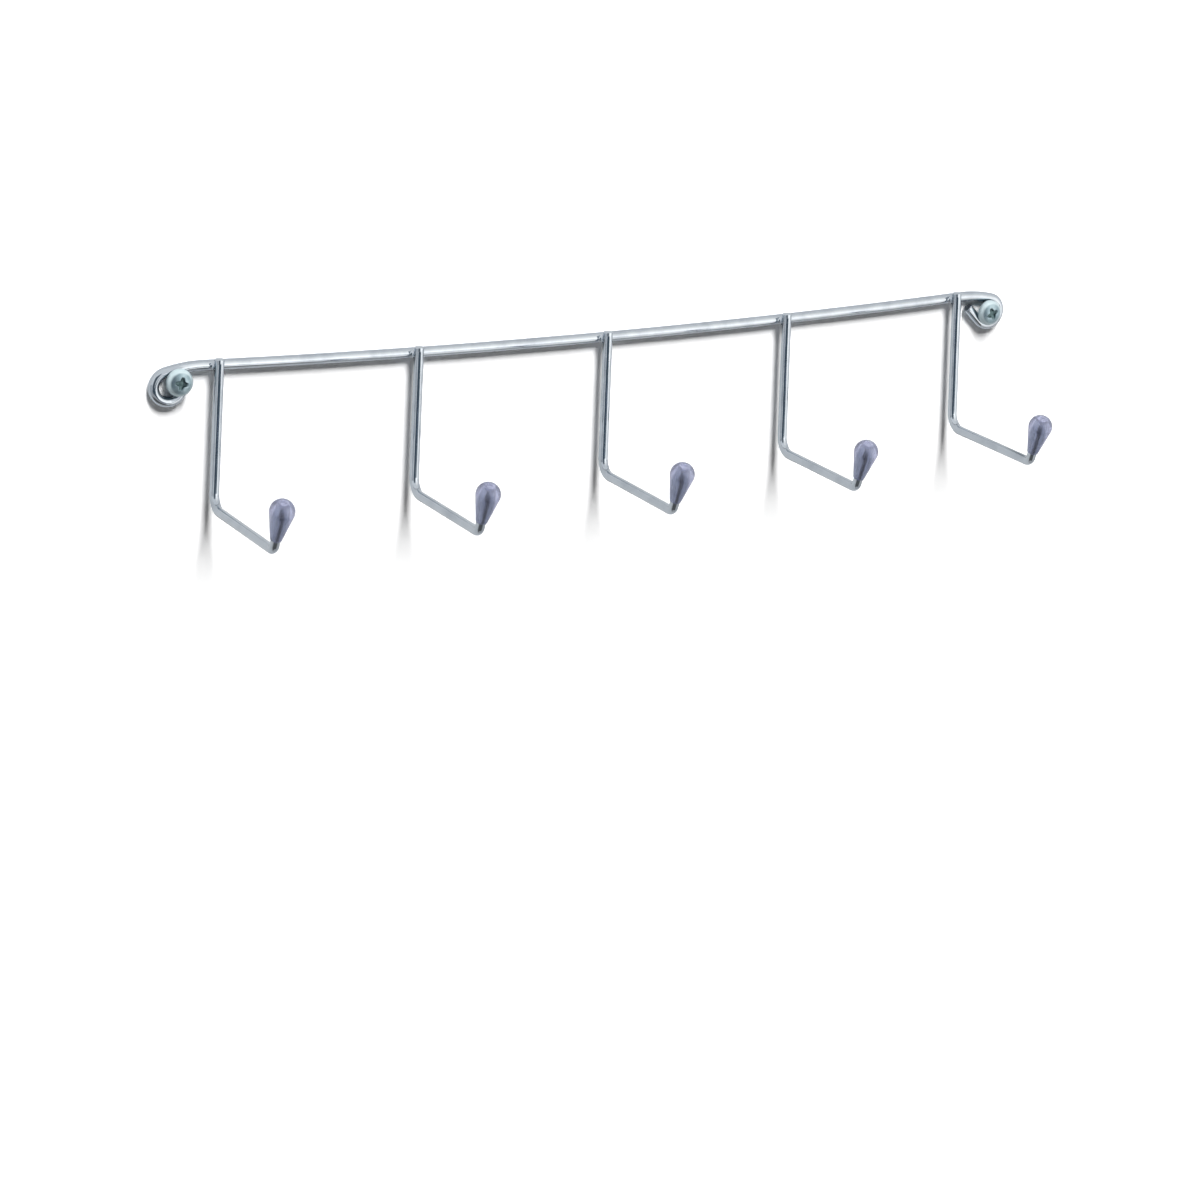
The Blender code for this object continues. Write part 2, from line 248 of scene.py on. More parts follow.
@dataclass(frozen=True)
class ChromePlate:
    """Bright chrome over nickel on drawn steel wire.

    The steel is drawn through a die, which leaves fine lines along it, then bent, welded and
    plated. The plate levels most of the lines, so the eye gets crisp mirror stripes with a
    slight waver, a light haze in patches and fine scuffs where the hooks are worn.
    """

    name: str = "bright_chrome_plate"
    plate: str = "#BDC5CD"
    haze: str = "#AFB7C0"
    clean_roughness: float = 0.055
    hazed_roughness: float = 0.14
    rubbed_roughness: float = 0.27
    # Draw lines run along the wire: real ones stand 0.02 mm apart, drawn coarser so that they show.
    lines: Pattern = Pattern(0.16, 3.0)
    line_stretch: float = 45.0
    line_height_mm: float = 0.004
    waver: Pattern = Pattern(2.6, 1.0)
    waver_height_mm: float = 0.006
    haze_patches: Pattern = Pattern(7.5, 4.0, 0.6, (0.42, 0.68))
    scuffs: Pattern = Pattern(0.35, 5.0, edge=(0.5, 0.64))
    scuff_squeeze: float = 0.12
    scuff_slant: float = 0.3

    def material(self) -> Material:
        """Builds the node material.

        Returns:
            The plated wire's material.
        """
        material, tree = new_material(self.name)
        place = carried(tree, Layer.PLACE, "Vector")
        rub = carried(tree, Layer.RUB, "Fac")
        along = stretched(tree, place, 1.0 / self.line_stretch)
        slanted = stretched(tree, place, self.scuff_squeeze, self.scuff_slant)
        haze = self.haze_patches.read(tree, place)
        rubbed = add_node(
            tree, "Math", {0: self.scuffs.read(tree, slanted), 1: rub}, operation="MULTIPLY"
        ).outputs[0]
        roughness = between(tree, haze, self.clean_roughness, self.hazed_roughness)
        drawn = raised(tree, self.lines.read(tree, along), self.line_height_mm)
        close(tree, {
            "Base Color": blend(tree, haze, linear(self.plate), linear(self.haze)),
            "Metallic": 1.0,
            "Roughness": shift(tree, rubbed, roughness, self.rubbed_roughness),
            "Normal": raised(tree, self.waver.read(tree, place), self.waver_height_mm, drawn),
        })
        return material


@dataclass(frozen=True)
class ZincPlate:
    """Blue-passivated zinc on a cold-headed, rolled steel screw.

    Barrel plating leaves a fine, slightly cloudy grain, and the passivation tints it a cool
    blue-green. The recess is painted darker, as painted shade.
    The rim is painted pale and dull, as a painted highlight.
    """

    name: str = "blue_passivated_zinc"
    plate: str = "#A6BBC4"
    cloud: str = "#8DA3AD"
    # Painted highlight: the rim's pale colour. Painted shade: the recess's dark colour.
    rim: str = "#CBDCE1"
    recess: str = "#566A6D"
    rim_highlight_metallic: float = 0.55
    rim_highlight_roughness: float = 0.38
    roughness: float = 0.3
    cloudy_roughness: float = 0.42
    clouds: Pattern = Pattern(1.6, 4.0, edge=(0.38, 0.66))
    # Barrel-plating grain is about 0.01 mm, drawn coarser so that it shows in a close view.
    grain: Pattern = Pattern(0.12, 2.0)
    grain_height_mm: float = 0.0012

    def material(self) -> Material:
        """Builds the node material.

        Returns:
            The plated screw's material.
        """
        material, tree = new_material(self.name)
        place = carried(tree, Layer.PLACE, "Vector")
        head = carried(tree, Layer.HEAD, "Fac")
        # The mask is -1 on the rim, which takes a painted highlight, and 1 in the recess, which takes
        # painted shade.
        rim = add_node(tree, "MapRange", {"Value": head, "From Max": -1.0}).outputs["Result"]
        clouds = self.clouds.read(tree, place)
        plated = blend(tree, clouds, linear(self.plate), linear(self.cloud))
        rim_highlighted = blend(tree, rim, plated, linear(self.rim))
        roughness = between(tree, clouds, self.roughness, self.cloudy_roughness)
        close(tree, {
            "Base Color": blend(tree, head, rim_highlighted, linear(self.recess)),
            "Metallic": between(tree, rim, 1.0, self.rim_highlight_metallic),
            "Roughness": shift(tree, rim, roughness, self.rim_highlight_roughness),
            "Normal": raised(tree, self.grain.read(tree, place), self.grain_height_mm),
        })
        return material


@dataclass(frozen=True)
class DippedVinyl:
    """Soft PVC, dip-moulded on the wire's end.

    The wire is dipped in liquid vinyl and baked, which draws it into a drop. The skin is glossy
    with a slight swell, and the body is a smoky lavender that lets the wire show as a dark core.
    A dark card seen only through the vinyl paints a dark streak into that core.
    """

    name: str = "dipped_soft_vinyl"
    body: str = "#B7BBD5"
    cloud: str = "#A9AECB"
    transmission: float = 0.78
    roughness: float = 0.16
    dull_roughness: float = 0.26
    ior: float = 1.53
    clouds: Pattern = Pattern(2.4, 3.0, edge=(0.35, 0.7))
    swell: Pattern = Pattern(1.8, 1.0)
    swell_height_mm: float = 0.01

    def material(self) -> Material:
        """Builds the node material.

        Returns:
            The soft cap's material.
        """
        material, tree = new_material(self.name)
        place = carried(tree, Layer.PLACE, "Vector")
        clouds = self.clouds.read(tree, place)
        close(tree, {
            "Base Color": blend(tree, clouds, linear(self.body), linear(self.cloud)),
            "Roughness": between(tree, clouds, self.roughness, self.dull_roughness),
            "IOR": self.ior,
            "Transmission Weight": self.transmission,
            "Normal": raised(tree, self.swell.read(tree, place), self.swell_height_mm),
        })
        return material


# The rack's finishes, each built once.
Finishes = Mapping[Slot, Material]


def angles_round(sides: int) -> list[float]:
    """Gives evenly spaced angles round a ring."""
    return [WHOLE_TURN * k / sides for k in range(sides)]


def put_in_scene(name: str, data: bpy.types.ID) -> Object:
    """Makes an object of a mesh, a lamp or a camera and links it to the scene."""
    made = bpy.data.objects.new(name, data)
    bpy.context.scene.collection.objects.link(made)
    return made


class WireLine:
    """A wire's centre line in one plane, drawn with straight runs and tangent arcs."""

    RUN_STEP = 1.6 * MM
    TURN_STEP = math.radians(4.0)

    def __init__(self, start: tuple[float, float] = (0.0, 0.0), heading: float = 0.0) -> None:
        """Starts the line at a point, which it leaves with a heading in radians."""
        self.stations: list[Station] = [(*start, heading)]

    def straight(self, length: float) -> "WireLine":
        """Runs on along the heading.

        Args:
            length: How far to run.

        Returns:
            This line.
        """
        x, y, heading = self.stations[-1]
        steps = max(1, math.ceil(length / self.RUN_STEP))
        for k in range(1, steps + 1):
            run = length * k / steps
            self.stations.append((x + run * math.cos(heading), y + run * math.sin(heading), heading))
        return self

    def centre(self, radius: float, turn: float) -> tuple[float, float]:
        """Finds the centre of an arc that would start at the line's end.

        Args:
            radius: The arc's radius.
            turn: Its angle, positive to the left.

        Returns:
            The centre.
        """
        x, y, heading = self.stations[-1]
        side = math.copysign(radius, turn)
        return x - side * math.sin(heading), y + side * math.cos(heading)

    def arc(self, radius: float, turn: float) -> "WireLine":
        """Turns along an arc.

        Args:
            radius: The arc's radius.
            turn: Its angle, positive to the left.

        Returns:
            This line.
        """
        side = math.copysign(radius, turn)
        middle_x, middle_y = self.centre(radius, turn)
        heading = self.stations[-1][2]
        steps = math.ceil(max(abs(turn) / self.TURN_STEP, abs(turn) * radius / self.RUN_STEP))
        for k in range(1, steps + 1):
            angle = heading + turn * k / steps
            x, y = middle_x + side * math.sin(angle), middle_y - side * math.cos(angle)
            self.stations.append((x, y, angle))
        return self

    def mirrored(self) -> list[Station]:
        """Gives the stations mirrored in x and run the other way, so that they lead into this line."""
        return [(-x, y, -heading) for x, y, heading in reversed(self.stations)]


@dataclass(frozen=True)
class Plane:
    """A plane in space that a wire's centre line is drawn in."""

    origin: Vector
    across: Vector
    up: Vector

    def point(self, x: float, y: float) -> Vector:
        """Places a point of the plane in space."""
        return self.origin + x * self.across + y * self.up

    def frame_at(self, heading: float) -> tuple[Vector, Vector]:
        """Gives the two directions square to a wire that runs along a heading."""
        return math.cos(heading) * self.up - math.sin(heading) * self.across, self.across.cross(self.up)


@dataclass
class Skin:
    """Rings of points that become one closed mesh, with the values that the finish reads."""

    BATCH_SHIFT_MM: ClassVar[float] = 311.0
    rings: list[tuple[list[Vector], list[Vector], list[float]]] = field(default_factory=list)

    def add(
        self, ring: Sequence[Vector], places: Sequence[Vector] = (), values: Sequence[float] = ()
    ) -> None:
        """Adds a ring.

        Args:
            ring: Its points.
            places: Where the finish's patterns are read, in millimetres; by default at the points.
            values: Each point's mask value, by default 0.
        """
        at = list(places) or [point / MM for point in ring]
        self.rings.append((list(ring), at, list(values) or [0.0] * len(ring)))

    def mesh(
        self, layer: Layer, matrix: Matrix, batch: int = 0, sharp: float = math.radians(40.0)
    ) -> Mesh:
        """Joins the rings into a tube and closes both ends with a fan.

        Args:
            layer: The name under which the mask values are kept.
            matrix: Where the piece stands.
            batch: Moves the finish's patterns along, so that no two pieces look the same.
            sharp: Edges that turn by more than this stay crisp, in radians.

        Returns:
            The closed mesh, shaded smooth.
        """
        along = Vector((self.BATCH_SHIFT_MM * batch, 0.0, 0.0))
        bm = bmesh.new()
        place_layer = bm.verts.layers.float_vector.new(Layer.PLACE.value)
        value_layer = bm.verts.layers.float.new(layer.value)

        def vert(point: Vector, place: Vector, value: float) -> bmesh.types.BMVert:
            """Adds a point with its values."""
            made = bm.verts.new(matrix @ point)
            made[place_layer] = place + along
            made[value_layer] = value
            return made

        loops = [[vert(*each) for each in zip(*ring)] for ring in self.rings]
        count = len(loops[0])
        for near, far in zip(loops, loops[1:]):
            for k in range(count):
                bm.faces.new((near[k - 1], near[k], far[k], far[k - 1]))
        for end in (0, -1):
            points, places, values = self.rings[end]
            hub = vert(sum(points, Vector()) / count, sum(places, Vector()) / count, sum(values) / count)
            for k in range(count):
                bm.faces.new((loops[end][k - 1], loops[end][k], hub))
        bmesh.ops.recalc_face_normals(bm, faces=bm.faces)
        mesh = bpy.data.meshes.new("skin")
        bm.to_mesh(mesh)
        bm.free()
        mesh.shade_smooth()
        mesh.set_sharp_from_angle(angle=sharp)
        return mesh


def place_piece(name: str, mesh: Mesh, finishes: Finishes, slot: Slot, *nodes: str) -> None:
    """Puts a piece of the rack in the scene and ties it to the frame.

    Args:
        name: The piece's name.
        mesh: Its mesh, already in its place.
        finishes: The rack's finishes.
        slot: The record's slot that the piece's finish stands for.
        *nodes: The CAD nodes that it stands for.
    """
    mesh.name = name
    mesh.materials.append(finishes[slot])
    piece = put_in_scene(name, mesh)
    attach(piece, BODY)
    if nodes:
        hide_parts(*nodes)
    LOG.info("%s: %d points, %d faces", name, len(mesh.vertices), len(mesh.polygons))


@dataclass(frozen=True)
class RoundWire:
    """Round wire of one diameter, with sheared ends whose edges are slightly rounded."""

    diameter: float
    end_round: float = 0.45 * MM
    sides: int = 40
    end_steps: int = 5

    def skin(
        self, stations: Sequence[Station], plane: Plane, rubbed: Sequence[float] = ()
    ) -> Skin:
        """Wraps the wire round a centre line.

        Args:
            stations: Points of the line with their headings.
            plane: The plane that the line is drawn in.
            rubbed: How worn each station's upper side is, from 0 to 1; by default 0.

        Returns:
            The wire's rings, with places measured along the wire as it was before bending.
        """
        worn = list(rubbed) or [0.0] * len(stations)
        runs = [0.0]
        for (x0, y0, _), (x1, y1, _) in zip(stations, stations[1:]):
            runs.append(runs[-1] + math.hypot(x1 - x0, y1 - y0))
        skin = Skin()
        angles = angles_round(self.sides)
        for (x, y, heading), run, wear, width in self._with_ends(stations, runs, worn):
            middle = plane.point(x, y)
            normal, side = plane.frame_at(heading)
            skin.add(
                [middle + width * (math.cos(a) * normal + math.sin(a) * side) for a in angles],
                [Vector((run, width * math.cos(a), width * math.sin(a))) / MM for a in angles],
                [wear * max(0.0, math.cos(a)) for a in angles],
            )
        return skin

    def _with_ends(
        self, stations: Sequence[Station], runs: Sequence[float], worn: Sequence[float]
    ) -> Iterator[tuple[Station, float, float, float]]:
        """Yields each station with its run, wear and radius, and the rounded ends.

        Args:
            stations: Points of the line with their headings.
            runs: How far along the wire each lies.
            worn: How worn each is.

        Yields:
            Station, run, wear and radius, from one cut end to the other.
        """
        radius = 0.5 * self.diameter
        steps = [
            (self.end_round * (1.0 - math.sin(t)), radius - self.end_round * (1.0 - math.cos(t)))
            for t in (QUARTER * k / self.end_steps for k in range(self.end_steps + 1))
        ]

        def end(index: int, sense: float) -> Iterator[tuple[Station, float, float, float]]:
            """Yields the stations of one rounded end, from the full wire to its flat."""
            x, y, heading = stations[index]
            for back, width in steps:
                run = sense * back
                at = (x + run * math.cos(heading), y + run * math.sin(heading), heading)
                yield at, runs[index] + run, worn[index], width

        yield from reversed(list(end(0, 1.0)))
        for k in range(1, len(stations) - 1):
            if runs[0] + self.end_round < runs[k] < runs[-1] - self.end_round:
                yield stations[k], runs[k], worn[k], radius
        yield from end(-1, -1.0)


@dataclass(frozen=True)
class Rail:
    """The rail: a long, slightly sagging run of wire with an eye at each end."""

    wire: float = 3.3 * MM
    outer_hook: float = 130.0 * MM
    sag: float = 2.4 * MM
    lead_start: float = 3.43 * MM
    lead_radius: float = 45.0 * MM
    lead_turn: float = math.radians(16.0)
    eye_radius: float = 4.5 * MM
    left_eye_turn: float = math.radians(235.04)
    right_eye_turn: float = math.radians(212.0)
    tail: float = 6.96 * MM

    @property
    def sag_radius(self) -> float:
        """Radius of the long arc between the outer hooks."""
        return (self.outer_hook**2 + self.sag**2) / (2.0 * self.sag)

    def half(self) -> WireLine:
        """Draws the centre line from the rail's middle to where an eye begins."""
        line = WireLine()
        line.arc(self.sag_radius, math.asin((self.outer_hook + self.lead_start) / self.sag_radius))
        return line.arc(self.lead_radius, -self.lead_turn)

    def eye_drop(self) -> float:
        """How far an eye's centre lies from the level of the rail's middle; negative is below."""
        return self.half().centre(self.eye_radius, -1.0)[1]

    def plane(self) -> Plane:
        """The plane that the rail's centre line lies in, with its back against the wall."""
        origin = Vector((0.0, -0.5 * self.wire, -self.eye_drop()))
        return Plane(origin, Vector((1.0, 0.0, 0.0)), Vector((0.0, 0.0, 1.0)))

    def hook_matrix(self, x: float) -> Matrix:
        """Places a hook's own space on the rail's centre line, x from its middle, square to the rail."""
        tilt = math.asin(x / self.sag_radius)
        place = self.plane().point(x, self.sag_radius * (1.0 - math.cos(tilt)))
        return Matrix.Translation(place) @ Matrix.Rotation(-tilt, 4, "Y")

    def build(self, finishes: Finishes) -> None:
        """Builds the rail in its finish."""
        left = self.half().arc(self.eye_radius, -self.left_eye_turn)
        right = self.half().arc(self.eye_radius, -self.right_eye_turn).straight(self.tail)
        stations = left.mirrored() + right.stations[1:]
        mesh = RoundWire(self.wire).skin(stations, self.plane()).mesh(Layer.RUB, Matrix())
        place_piece("rail_wire", mesh, finishes, Slot.CHROME, "rail")


@dataclass(frozen=True)
class Weld:
    """The collar of metal that a resistance weld squeezes out between leg and rail."""

    along_rail: float = 2.7 * MM
    across_rail: float = 1.4 * MM
    across_leg: float = 1.3 * MM
    along_leg: float = 2.75 * MM
    waist: float = 1.0 * MM
    droop: float = 0.6 * MM
    sunk: float = 0.06 * MM
    sides: int = 56
    steps: int = 12

    def skin(self, rail_radius: float, leg_radius: float, leg_offset: float) -> Skin:
        """Spans a concave skin between the rail's front and the leg's back.

        Args:
            rail_radius: Half the rail's diameter.
            leg_radius: Half the leg's diameter.
            leg_offset: The leg's distance in front of the rail's centre line.

        Returns:
            The collar's rings, in the hook's own space.
        """
        skin = Skin()
        angles = angles_round(self.sides)
        middle_y = -0.5 * (rail_radius + leg_offset - leg_radius)
        for step in range(self.steps + 1):
            share = step / self.steps
            weights = ((1.0 - share) ** 2, 2.0 * share * (1.0 - share), share**2)
            ring = []
            for a in angles:
                c, s = math.cos(a), math.sin(a)
                rail_z = self.across_rail * s
                rail_y = self.sunk - math.sqrt(rail_radius**2 - rail_z**2)
                on_rail = Vector((self.along_rail * c, rail_y, rail_z))
                leg_x = self.across_leg * c
                leg_y = math.sqrt(leg_radius**2 - leg_x**2) - leg_offset - self.sunk
                on_leg = Vector((leg_x, leg_y, self.along_leg * s - self.droop))
                waist = Vector((self.waist * c, middle_y, self.waist * s - 0.5 * self.droop))
                ring.append(weights[0] * on_rail + weights[1] * waist + weights[2] * on_leg)
            skin.add(ring)
        return skin


@dataclass(frozen=True)
class TipCap:
    """A drop of soft vinyl on a hook's end, turned about its own axis."""

    seat: float = 4.0 * MM
    neck: float = 9.9 * MM
    ball: float = 7.65 * MM
    rim: float = 3.66 * MM
    lip: float = 0.16 * MM
    bore: float = 2.9 * MM
    end_room: float = 2.3 * MM
    floor_rings: tuple[float, ...] = (0.05, 0.5, 0.9)
    floor_chamfer: float = 0.1
    sharp_edge: float = math.radians(60.0)
    sides: int = 72
    lip_steps: int = 8
    cone_steps: int = 14
    ball_steps: int = 30

    def outline(self) -> list[tuple[float, float]]:
        """Draws the cap's section from the bore's floor round to its top.

        Returns:
            Pairs of radius and height above the rim.
        """
        bore, rim, ball = 0.5 * self.bore, 0.5 * self.rim, 0.5 * self.ball
        floor = self.neck + self.end_room
        slope = math.asin(ball / math.hypot(self.neck, rim)) - math.atan2(rim, self.neck)
        outline = [(bore * share, floor) for share in self.floor_rings]
        outline += [(bore, floor - bore * self.floor_chamfer), (bore, 0.5 * floor), (bore, self.lip)]
        middle = rim - self.lip
        for k in range(self.lip_steps + 1):
            angle = math.pi * (1.0 - k / self.lip_steps)
            reach = max(bore, middle + self.lip * math.cos(angle))
            outline.append((reach, self.lip * (1.0 - math.sin(angle))))
        start = (rim, self.lip)
        touch = (ball * math.cos(slope), self.neck - ball * math.sin(slope))
        for k in range(1, self.cone_steps):
            share = k / self.cone_steps
            outline.append(tuple(a + (b - a) * share for a, b in zip(start, touch)))
        for k in range(self.ball_steps):
            angle = -slope + (QUARTER + slope) * k / self.ball_steps
            outline.append((ball * math.cos(angle), self.neck + ball * math.sin(angle)))
        return outline

    def skin(self) -> Skin:
        """Turns the outline round the cap's axis and gives its rings, standing on the rim."""
        skin = Skin()
        angles = angles_round(self.sides)
        for radius, height in self.outline():
            skin.add([Vector((radius * math.cos(a), radius * math.sin(a), height)) for a in angles])
        return skin


@dataclass(frozen=True)
class Hook:
    """A hook: a leg welded to the rail, an arm that reaches into the room and a leaning upright."""

    wire: float = 3.0 * MM
    seat_gap: float = 0.3 * MM
    leg_overrun: float = 0.99 * MM
    tip_overrun: float = 2.2 * MM
    leg_drop: float = 43.16 * MM
    inner_bend: float = 5.0 * MM
    arm: float = 45.1 * MM
    outer_bend: float = 2.7 * MM
    lean: float = math.radians(21.0)
    level_heading: float = math.radians(5.7)
    cap: TipCap = field(default_factory=TipCap)
    weld: Weld = field(default_factory=Weld)

    def line(self, rail: Rail) -> WireLine:
        """Draws the hook's centre line from its top to its end.

        Args:
            rail: The rail that the leg crosses.

        Returns:
            The line, as distance from the leg and height above the rail's centre line.
        """
        top = 0.5 * rail.wire + self.leg_overrun
        inner = self.inner_bend * math.tan(0.5 * QUARTER)
        turn = QUARTER - self.lean
        outer = self.outer_bend * math.tan(0.5 * turn)
        line = WireLine((0.0, top), -QUARTER).straight(top + self.leg_drop - inner)
        line.arc(self.inner_bend, QUARTER).straight(self.arm - inner - outer)
        upright = self.cap.seat + self.cap.neck + self.tip_overrun
        return line.arc(self.outer_bend, turn).straight(upright - outer)

    def leg_offset(self, rail: Rail) -> float:
        """How far in front of the rail's centre line the leg stands."""
        return 0.5 * (rail.wire + self.wire) + self.seat_gap

    def wire_skin(self, rail: Rail) -> Skin:
        """Bends the hook's wire and gives its rings, in the hook's own space."""
        stations = self.line(rail).stations
        start = Vector((0.0, -self.leg_offset(rail), 0.0))
        plane = Plane(start, Vector((0.0, -1.0, 0.0)), Vector((0.0, 0.0, 1.0)))
        # What hangs on the arm slides on and off over its far end, so the wear grows towards it.
        rubbed = [
            min(1.0, max(0.0, x / self.arm)) if abs(heading) < self.level_heading else 0.0
            for x, _, heading in stations
        ]
        return RoundWire(self.wire).skin(stations, plane, rubbed)

    def weld_skin(self, rail: Rail) -> Skin:
        """Gives the weld collar's rings, in the hook's own space."""
        return self.weld.skin(0.5 * rail.wire, 0.5 * self.wire, self.leg_offset(rail))

    def cap_matrix(self, rail: Rail) -> Matrix:
        """Gives the place and the lean of the cap's rim, in the hook's own space."""
        reach = self.arm + self.cap.seat * math.sin(self.lean)
        height = self.cap.seat * math.cos(self.lean) - self.leg_drop
        place = Vector((0.0, -self.leg_offset(rail) - reach, height))
        return Matrix.Translation(place) @ Matrix.Rotation(self.lean, 4, "X")


@dataclass(frozen=True)
class HookRow:
    """All hooks of the rack, evenly spaced along the rail."""

    count: int = 5
    pitch: float = 65.0 * MM
    hook: Hook = field(default_factory=Hook)

    def build(self, rail: Rail, finishes: Finishes) -> None:
        """Builds each hook with its weld and its cap.

        Args:
            rail: The rail that carries the hooks.
            finishes: The rack's finishes.
        """
        wire, collar, cap = self.hook.wire_skin(rail), self.hook.weld_skin(rail), self.hook.cap.skin()
        seat = self.hook.cap_matrix(rail)
        for number in range(1, self.count + 1):
            at = rail.hook_matrix(self.pitch * (number - 0.5 * (self.count + 1)))
            mesh = wire.mesh(Layer.RUB, at, number)
            place_piece(f"hook_wire_{number}", mesh, finishes, Slot.CHROME, f"hook_{number}")
            mesh = collar.mesh(Layer.RUB, at, number)
            place_piece(f"weld_collar_{number}", mesh, finishes, Slot.CHROME)
            mesh = cap.mesh(Layer.RUB, at @ seat, number, self.hook.cap.sharp_edge)
            place_piece(f"tip_cap_drop_{number}", mesh, finishes, Slot.VINYL, f"tip_cap_{number}")


@dataclass(frozen=True)
class CrossRecess:
    """The cross recess pressed into a screw's head: wings that taper towards its floor."""

    span: float = 4.2 * MM
    wing: float = 1.9 * MM
    core: float = 1.2 * MM
    depth: float = 0.95 * MM
    edge: float = 0.45 * MM
    narrowing: float = 0.62

    def depth_at(self, x: np.ndarray, y: np.ndarray) -> np.ndarray:
        """Finds how deep the recess is below the head's surface.

        Args:
            x: First coordinates across the head.
            y: Second coordinates across the head.

        Returns:
            The depth at each point, zero outside the recess.
        """
        deepest = np.zeros_like(x)
        for along, across in ((x, y), (y, x)):
            reach = np.abs(along)
            fall = np.clip((0.5 * self.span - reach) / (0.5 * self.span - 0.5 * self.core), 0.0, 1.0)
            half = 0.5 * self.wing * (1.0 - self.narrowing * np.clip(2.0 * reach / self.span, 0.0, 1.0))
            wall = np.clip((half - np.abs(across)) / self.edge + 0.5, 0.0, 1.0)
            # The recess's walls slope and blend smoothly into the head and the floor.
            wall = wall * wall * (3.0 - 2.0 * wall)
            deepest = np.maximum(deepest, self.depth * np.sqrt(fall) * wall)
        return deepest


@dataclass(frozen=True)
class PanHeadScrew:
    """A pan-head wood screw with a cross recess, driven square into the wall."""

    side: Side
    turned: float
    head: float = 8.4 * MM
    head_height: float = 2.8 * MM
    head_side: float = 0.5 * MM
    shoulder: float = 1.6 * MM
    shoulder_turn: float = math.radians(62.0)
    # The band round the head's edge that takes the painted highlight.
    rim_highlight_width: float = 1.2 * MM
    rim_highlight_fade: float = 0.45 * MM
    under_round: float = 0.12 * MM
    neck: float = 3.0 * MM
    neck_run: float = 4.8 * MM
    thread: float = 4.0 * MM
    root: float = 2.8 * MM
    pitch: float = 1.8 * MM
    length: float = 25.0 * MM
    point: float = 4.0 * MM
    point_tip: float = 0.4 * MM
    thread_end: float = 0.3 * MM
    crest_power: float = 0.8
    recess: CrossRecess = field(default_factory=CrossRecess)
    # How soon the recess's painted shade is full.
    recess_shade_gain: float = 1.6
    sharp_edge: float = math.radians(50.0)
    sides: int = 96
    steps_per_thread: int = 14
    under_steps: int = 4
    shoulder_steps: int = 14
    dome_steps: int = 60

    @property
    def node(self) -> str:
        """The CAD node that the screw stands for."""
        return f"screw_{self.side.value}"

    def thread_radius(self, height: float, angle: float) -> float:
        """Finds the threaded part's radius.

        Args:
            height: Height above the point.
            angle: Angle round the axis, in radians.

        Returns:
            The radius there.
        """
        phase = (height / self.pitch - angle / WHOLE_TURN) % 1.0
        crest = max(0.0, 1.0 - 2.0 * abs(2.0 * phase - 1.0)) ** self.crest_power
        taper = min(1.0, height / self.point)
        run_out = min(1.0, max(0.0, (self.length - self.neck_run - height) / self.pitch))
        core = 0.5 * (self.root - self.point_tip)
        return 0.5 * self.point_tip + taper * (core + 0.5 * (self.thread - self.root) * crest * run_out)

    def head_outline(self) -> list[tuple[float, float]]:
        """Draws the head's section from its underside's edge to near its top.

        Returns:
            Pairs of radius and height above the seat.
        """
        edge = 0.5 * self.head
        outline = [
            (edge - self.under_round * (1.0 - math.sin(t)), self.under_round * (1.0 - math.cos(t)))
            for t in (QUARTER * k / self.under_steps for k in range(self.under_steps + 1))
        ]
        outline.append((edge, self.head_side))
        inner = edge - self.shoulder
        for k in range(1, self.shoulder_steps + 1):
            angle = self.shoulder_turn * k / self.shoulder_steps
            height = self.head_side + self.shoulder * math.sin(angle)
            outline.append((inner + self.shoulder * math.cos(angle), height))
        start, crown = outline[-1]
        lift = self.head_height - crown
        for k in range(1, self.dome_steps):
            share = k / self.dome_steps
            outline.append((start * (1.0 - share), crown + lift * (1.0 - (1.0 - share) ** 2)))
        return outline

    def skin(self) -> Skin:
        """Wraps the screw from its point to its head.

        Returns:
            The screw's rings, standing on its point. Their mask falls to -1 on the rim, where a
            highlight is painted, and rises to 1 in the recess, where shade is painted.
        """
        skin = Skin()
        angles = np.arange(self.sides) * WHOLE_TURN / self.sides
        thread_run = self.length - self.neck_run

        def ring(height: np.ndarray, radius: np.ndarray, mask: np.ndarray) -> None:
            """Adds a ring whose height and radius may change round the axis."""
            points = [
                Vector((r * math.cos(a), r * math.sin(a), h)) for r, a, h in zip(radius, angles, height)
            ]
            skin.add(points, values=mask.tolist())

        flat = np.zeros(self.sides)
        count = math.ceil(self.steps_per_thread * thread_run / self.pitch)
        for k in range(count + 1):
            height = thread_run * k / count
            ring(flat + height, np.array([self.thread_radius(height, a) for a in angles]), flat)
        ring(flat + thread_run + self.thread_end, flat + 0.5 * self.neck, flat)
        ring(flat + self.length, flat + 0.5 * self.neck, flat)
        for radius, height in self.head_outline():
            down = self.recess.depth_at(radius * np.cos(angles), radius * np.sin(angles))
            # The rim band takes a painted highlight and the recess takes painted shade.
            rim = min(1.0, max(0.0, (radius - 0.5 * self.head + self.rim_highlight_width) / self.rim_highlight_fade))
            sunk = np.clip(down / self.recess.depth * self.recess_shade_gain, 0.0, 1.0)
            ring(self.length + height - down, flat + radius, sunk - rim)
        return skin

    def build(self, finishes: Finishes) -> None:
        """Builds the screw in its finish where the CAD has it."""
        low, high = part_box(self.node)
        tip = Vector((0.5 * (low.x + high.x), high.y, 0.5 * (low.z + high.z)))
        turn = Matrix.Rotation(QUARTER, 4, "X") @ Matrix.Rotation(self.turned, 4, "Z")
        at = Matrix.Translation(tip) @ turn
        batch = 1 + (self.side is Side.RIGHT)
        mesh = self.skin().mesh(Layer.HEAD, at, batch, self.sharp_edge)
        place_piece(f"pan_head_{self.node}", mesh, finishes, Slot.ZINC, self.node)


